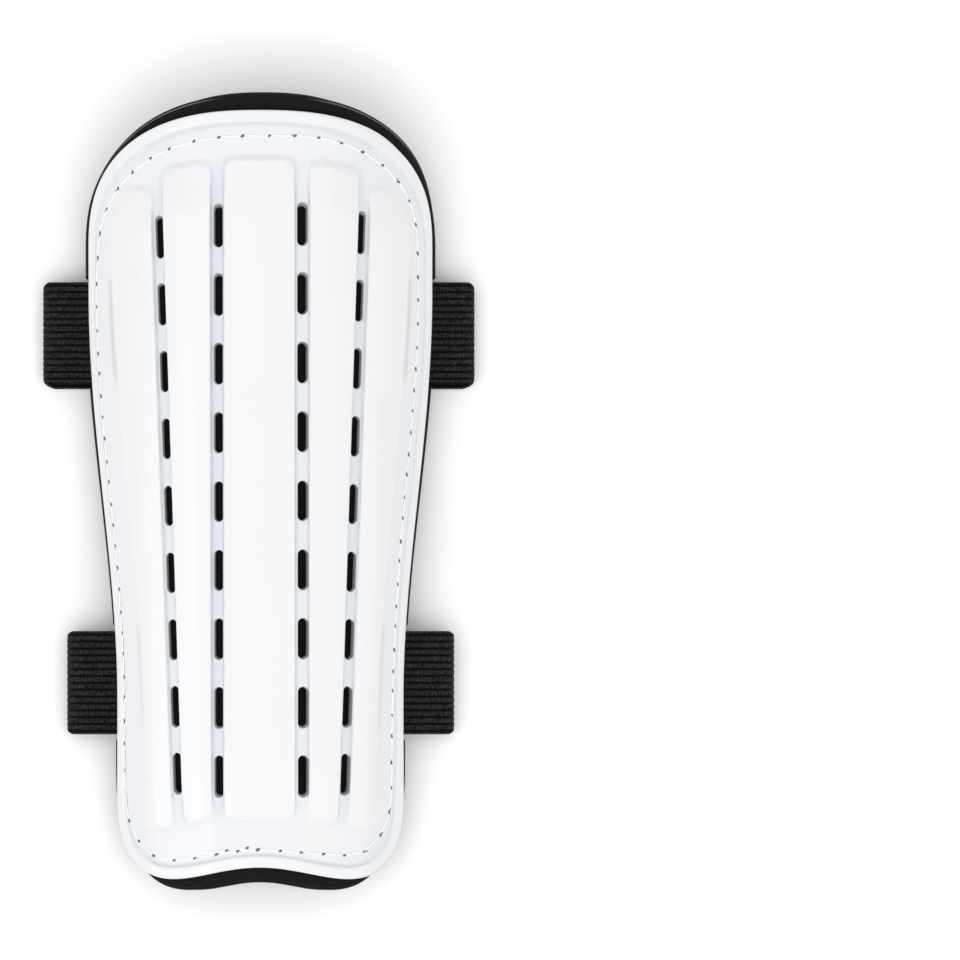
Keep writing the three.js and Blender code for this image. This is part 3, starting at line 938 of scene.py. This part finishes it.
def build_lining(material, seam):
    x, y = soft_grid(LINING_OUTLINE, LINING_RIM)
    distance = edge_distance(LINING_OUTLINE, x, y)
    pull = seam_pull(x, y, seam)
    front = place(skewed(x, y), y, LINING_FRONT + pull - rounded_drop(distance, LINING_ROUND["front"]))
    back = place(skewed(x, y), y, LINING_BACK + pull + rounded_drop(distance, LINING_ROUND["back"]))
    return new_sheet("lining_cloth", front, back, material, unrolled(x, y), unrolled(x, y))


# Seam

def stitch_inset(x, y):
    """How far inside the shell's edge the seam runs near (x, y)."""
    left = np.interp(y, STITCH_SIDE_INSET["y"], STITCH_SIDE_INSET["left"])
    right = np.interp(y, STITCH_SIDE_INSET["y"], STITCH_SIDE_INSET["right"])
    side = lerp(left, right, smoothstep(x, *INSET_BLEND["side_x"]))
    top = lerp(STITCH_INSET["top_left"], STITCH_INSET["top_right"], smoothstep(x, *INSET_BLEND["top_x"]))
    upper = lerp(side, top, smoothstep(y, *INSET_BLEND["top_y"]))
    low_side = np.where(x > 0, STITCH_INSET["low_right"], STITCH_INSET["low_left"])
    low = lerp(STITCH_INSET["low"], low_side, smoothstep(np.abs(x), *INSET_BLEND["low_x"]))
    return lerp(low, upper, smoothstep(y, *INSET_BLEND["low_y"]))


def seam_loop():
    """Closed loop of (x, y) along the seam, inside the shell's edge."""
    x, y = outline_loop(SHELL_OUTLINE)
    flat = unrolled(x, y)
    along = unit(np.roll(flat, -3, axis=0) - np.roll(flat, 3, axis=0))
    inward = np.stack([along[:, 1], -along[:, 0]], axis=1)
    line = flat + inward * stitch_inset(x, y)[:, None]
    return roll_up(line[:, 0], line[:, 1]), line[:, 1]


def seam_holes(seam):
    """Needle holes along the seam, with longer stitches at the top and the low corners."""
    flat = unrolled(*seam)
    closed = np.concatenate([flat, flat[:1]])
    across, y = closed[1:].T
    low_corner = smoothstep(np.abs(across), *LONG_STITCHES["low_x"]) * smoothstep(-y, *LONG_STITCHES["low_y"])
    long = np.maximum(low_corner, smoothstep(y, *LONG_STITCHES["top_y"]))
    pitch = lerp(STITCH_PITCH, LONG_STITCHES["pitch"], long)
    stitches = np.concatenate([[0], np.cumsum(np.linalg.norm(np.diff(closed, axis=0), axis=1) / pitch)])
    count = round(stitches[-1])
    uneven = np.random.default_rng(5).uniform(-STITCH_UNEVEN, STITCH_UNEVEN, count)
    stations = (np.arange(count) + STITCH_PHASE + uneven) * stitches[-1] / count
    across, y = (np.interp(stations, stitches, part, period=stitches[-1]) for part in closed.T)
    return np.stack([roll_up(across, y), y], axis=1)


def overlap_holes():
    """Needle holes of the short run beside the seam's low end that locks the thread."""
    x = OVERLAP["start_x"] - OVERLAP["pitch"] * np.arange(OVERLAP["stitches"] + 1)
    edge = low_y(SHELL_OUTLINE, x)
    return np.stack([x, edge + stitch_inset(x, edge) + OVERLAP["inset"]], axis=1)


def build_stitches(name, stitches, base_height, away, material):
    """Twisted thread from needle hole to needle hole, on one side of the guard."""
    steps, sides = 15, 12
    share = np.linspace(0, 1, steps)
    angle = np.linspace(0, 2 * math.pi, sides, endpoint=False)
    points, faces = [], []
    for start, end in stitches:
        gap = NEEDLE_HOLE["length"] * NEEDLE_HOLE["thread_share"] / np.linalg.norm(end - start)
        path = start + (end - start) * lerp(gap, 1 - gap, share)[:, None]
        x, y = path.T
        outward = normal_at(x, y) * away
        sideways = np.cross(unit(np.gradient(place(x, y, 0), axis=0)), outward)
        dive = THREAD["dive"] * np.abs(2 * share - 1) ** THREAD["dive_power"]
        lift = outward * (THREAD["radius"] * THREAD["lift"] - dive)[:, None]
        slant = sideways * (share - 0.5)[:, None] * THREAD["slant"]
        centre = place(x, y, base_height) + lift + slant
        turn = 2 * angle[None] - 2 * THREAD["twist"] * share[:, None] * STITCH_PITCH
        radius = THREAD["radius"] * (1 + THREAD["strand"] * np.cos(turn))
        spoke = (np.cos(angle)[None, :, None] * sideways[:, None]
                 + np.sin(angle)[None, :, None] * outward[:, None])
        ring = centre[:, None] + radius[..., None] * spoke
        index = numbered_rings(len(points), steps, sides)
        points.append(ring.reshape(-1, 3))
        faces += [strip(last, following) for last, following in zip(index, index[1:])]
        faces += [index[0][None, ::-1], index[-1][None]]
    return new_piece(name, np.concatenate(points), faces, material)


def needle_marks(stitches):
    """x, y, heading and size of every hole, some with a smaller second mark just before them."""
    random = np.random.default_rng(11)
    marks = []
    for (x, y), end in stitches:
        facing = normal_at(x, y)[2]
        travel = end - (x, y)
        step = unit(np.array([travel[0] / facing, travel[1]]))
        heading = math.atan2(step[1], step[0]) + NEEDLE_HOLE["turn"]
        marks.append((x, y, heading, random.uniform(*NEEDLE_HOLE["sizes"])))
        if random.uniform() < NEEDLE_MARK["share"]:
            back = NEEDLE_MARK["gap"] * step
            marks.append((x - back[0] * facing, y - back[1], heading, NEEDLE_MARK["size"]))
    return marks


def build_needle_rings(name, marks, rings, closed, material):
    """Rings round every needle hole, joined inwards, and closed in the middle or left open."""
    sides = 14
    angle = np.linspace(0, 2 * math.pi, sides, endpoint=False)
    scale, height = np.array(rings).T[..., None]
    points, faces = [], []
    for x, y, heading, size in marks:
        long = NEEDLE_HOLE["length"] * size * scale * np.cos(angle)
        wide = NEEDLE_HOLE["width"] * size * scale * np.sin(angle)
        across = long * math.cos(heading) - wide * math.sin(heading)
        along = long * math.sin(heading) + wide * math.cos(heading)
        index = numbered_rings(len(points), len(rings), sides)
        points.append(place(x + across * normal_at(x, y)[2], y + along, height).reshape(-1, 3))
        faces += [strip(last, ring)[:, ::-1] for last, ring in zip(index, index[1:])]
        if closed:
            faces.append(index[-1][None])
    return new_piece(name, np.concatenate(points), faces, material)


# Straps

def strap_half_route(fold_x, y):
    """Half a strap's middle line, from its tab over its fold to its back's middle: x, z and back shift."""
    edge = side_x(SHELL_OUTLINE, y)
    tab_height = -SHELL_WALL - STRAP_TAB["gap"] - STRAP_THICKNESS / 2
    tab_x = np.linspace(edge - STRAP_TAB["inside"], edge + STRAP_TAB["past_edge"], STRAP_STEPS["tab"])
    tab = place(tab_x, y, tab_height)
    normal = normal_at(tab_x[-1], y)
    slope = math.atan2(normal[0], normal[2])
    angle = slope * (1 - np.linspace(0, 1, STRAP_STEPS["bend"])[1:])
    bend_x = tab[-1, 0] + STRAP_BEND_RADIUS * (math.sin(slope) - np.sin(angle))
    bend_z = tab[-1, 2] - STRAP_BEND_RADIUS * (np.cos(angle) - math.cos(slope))
    floor = STRAP_THICKNESS / 2
    radius = (bend_z[-1] - floor) / 2
    centre = fold_x - floor - radius
    run_x = np.linspace(bend_x[-1], centre, STRAP_STEPS["run"])[1:-1]
    share = np.linspace(0, 1, STRAP_STEPS["fold"])
    back_x = np.linspace(centre, 0, STRAP_STEPS["back"])[1:]
    x = np.concatenate([tab[:, 0], bend_x, run_x, centre + radius * np.sin(math.pi * share), back_x])
    z = np.concatenate([tab[:, 2], bend_z, np.full(len(run_x), bend_z[-1]),
                        floor + radius * (1 + np.cos(math.pi * share)), np.full(len(back_x), floor)])
    before = len(tab) + len(bend_x) + len(run_x)
    fold_shift = np.clip((share - STRAP_SHIFT_START) / (1 - STRAP_SHIFT_START), 0, 1)
    shift = np.concatenate([np.zeros(before), fold_shift, np.ones(len(back_x))])
    return np.stack([x, z, shift], axis=1)


def strap_section(width):
    """Places across a strap from -0.5 to 0.5, and its half-thickness over round cords side by side."""
    across = np.linspace(-0.5, 0.5, STRAP_RIBS * STRAP_RIB_STEPS + 1)
    cord = np.abs(np.cos(math.pi * (across + 0.5) * STRAP_RIBS))
    ridge = 1 - np.sqrt(1 - np.clip(1 - cord, 0, 1) ** 2)
    core = STRAP_THICKNESS / 2 - STRAP_RIB_DEPTH
    edge = np.clip((0.5 - np.abs(across)) * width / STRAP_SELVEDGE["width"], 0, 1)
    selvedge = lerp(STRAP_SELVEDGE["thickness_share"], 1, np.sqrt(1 - (1 - edge) ** 2))
    return across, (core + STRAP_RIB_DEPTH * (1 - ridge)) * selvedge


def build_strap(name, strap, material):
    width = strap["width"]
    routes = []
    for y in (strap["y"] - width / 2, strap["y"] + width / 2):
        left = strap_half_route(strap["fold_left"], y)[:-1] * (-1, 1, 1)
        routes.append(np.concatenate([left, strap_half_route(strap["fold_right"], y)[::-1]]))
    across, thickness = strap_section(width)
    share = (across + 0.5)[None, :, None]
    route = lerp(routes[0][:, None], routes[1][:, None], share)
    tangent = unit(np.gradient(route[..., :2], axis=0))
    fold_x = np.where(route[..., 0] < 0, strap["fold_left"], strap["fold_right"])
    to_fold = fold_x - STRAP_THICKNESS / 2 - np.abs(route[..., 0])
    edge_side = np.sign(across) * smoothstep(np.abs(across), 0.25, 0.5)
    drawn_in = edge_side * rounded_drop(to_fold, STRAP_FOLD_ROUND)
    y = strap["y"] + across * width - drawn_in + strap["back_shift"] * route[..., 2]

    def face(height):
        x = route[..., 0] - tangent[..., 1] * height
        z = route[..., 1] + tangent[..., 0] * height
        return np.stack([x, y, z], axis=-1)

    steps = np.linalg.norm(np.diff(route[..., :2], axis=0), axis=-1)
    along = np.concatenate([np.zeros((1, steps.shape[1])), np.cumsum(steps, axis=0)])
    cords = np.broadcast_to((across + 0.5) * STRAP_RIBS, along.shape)
    flat = np.stack([along, cords], axis=-1).reshape(-1, 2)
    return new_sheet(name + "_elastic", face(thickness[None]), face(-thickness[None]), material, flat, flat)


# Stage

def build_stage():
    material = new_material("pale_floor", (0.96, 0.96, 0.96), 0.7)[0]
    corners = np.array([(-1, -1, 0), (1, -1, 0), (1, 1, 0), (-1, 1, 0)])
    points = corners * FLOOR["half"] + (0, 0, FLOOR["z"])
    new_piece("floor", points, [np.array([[0, 1, 2, 3]])], material)


def build_lights():
    world = bpy.data.worlds.new("studio")
    bpy.context.scene.world = world
    world.use_nodes = True
    background = world.node_tree.nodes["Background"]
    background.inputs["Color"].default_value = WORLD["color"]
    background.inputs["Strength"].default_value = WORLD["strength"]
    for name, box in SOFTBOXES.items():
        light = bpy.data.lights.new(name, "AREA")
        light.shape = "RECTANGLE"
        light.size, light.size_y = box["size"]
        light.energy = box["power"]
        lamp = new_object(name, light)
        lamp.location = box["place"]
        lamp.rotation_euler = (-lamp.location).to_track_quat("-Z", "Y").to_euler()
    bpy.context.scene.view_settings.view_transform = "Standard"


def build_camera():
    """Straight down on the guard, with the photo's framing: the guard in the left half."""
    camera = bpy.data.cameras.new("camera")
    camera.lens = camera.sensor_width * CAMERA["distance"] / CAMERA["frame_width"]
    shot = new_object("camera", camera)
    x, y, z = CAMERA["aim"]
    shot.location = (x, y, z + CAMERA["distance"])
    bpy.context.scene.camera = shot


def take_over(piece, node=None):
    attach(piece, BODY)
    if node:
        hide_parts(node)


def main():
    build_camera()
    build_lights()
    build_stage()
    plastic = shell_material()
    thread = thread_material()
    elastic = elastic_material()
    seam = seam_loop()
    holes, overlap = seam_holes(seam), overlap_holes()
    stitches = list(zip(holes, np.roll(holes, -1, axis=0))) + list(zip(overlap, overlap[1:]))
    take_over(build_shell(plastic), "shell")
    pad = build_pad(foam_material(), seam)
    take_over(pad, "foam_pad")
    lining = build_lining(lining_material(), seam)
    take_over(lining, "lining")
    for name, strap in STRAPS.items():
        take_over(build_strap(name, strap, elastic), name)
    take_over(build_stitches("seam_front", stitches, 0.0, 1, thread))
    take_over(build_stitches("seam_back", stitches, LINING_BACK + BACK_SEAM_DEPTH, -1, thread))
    marks = needle_marks(stitches)
    take_over(build_needle_rings("needle_burrs", marks, BURR_RINGS, False, plastic))
    # Needle holes closed by dark discs, with the holes' shade painted into their colour
    take_over(build_needle_rings("needle_holes", marks, HOLE_RINGS, True, hole_material()))


main()
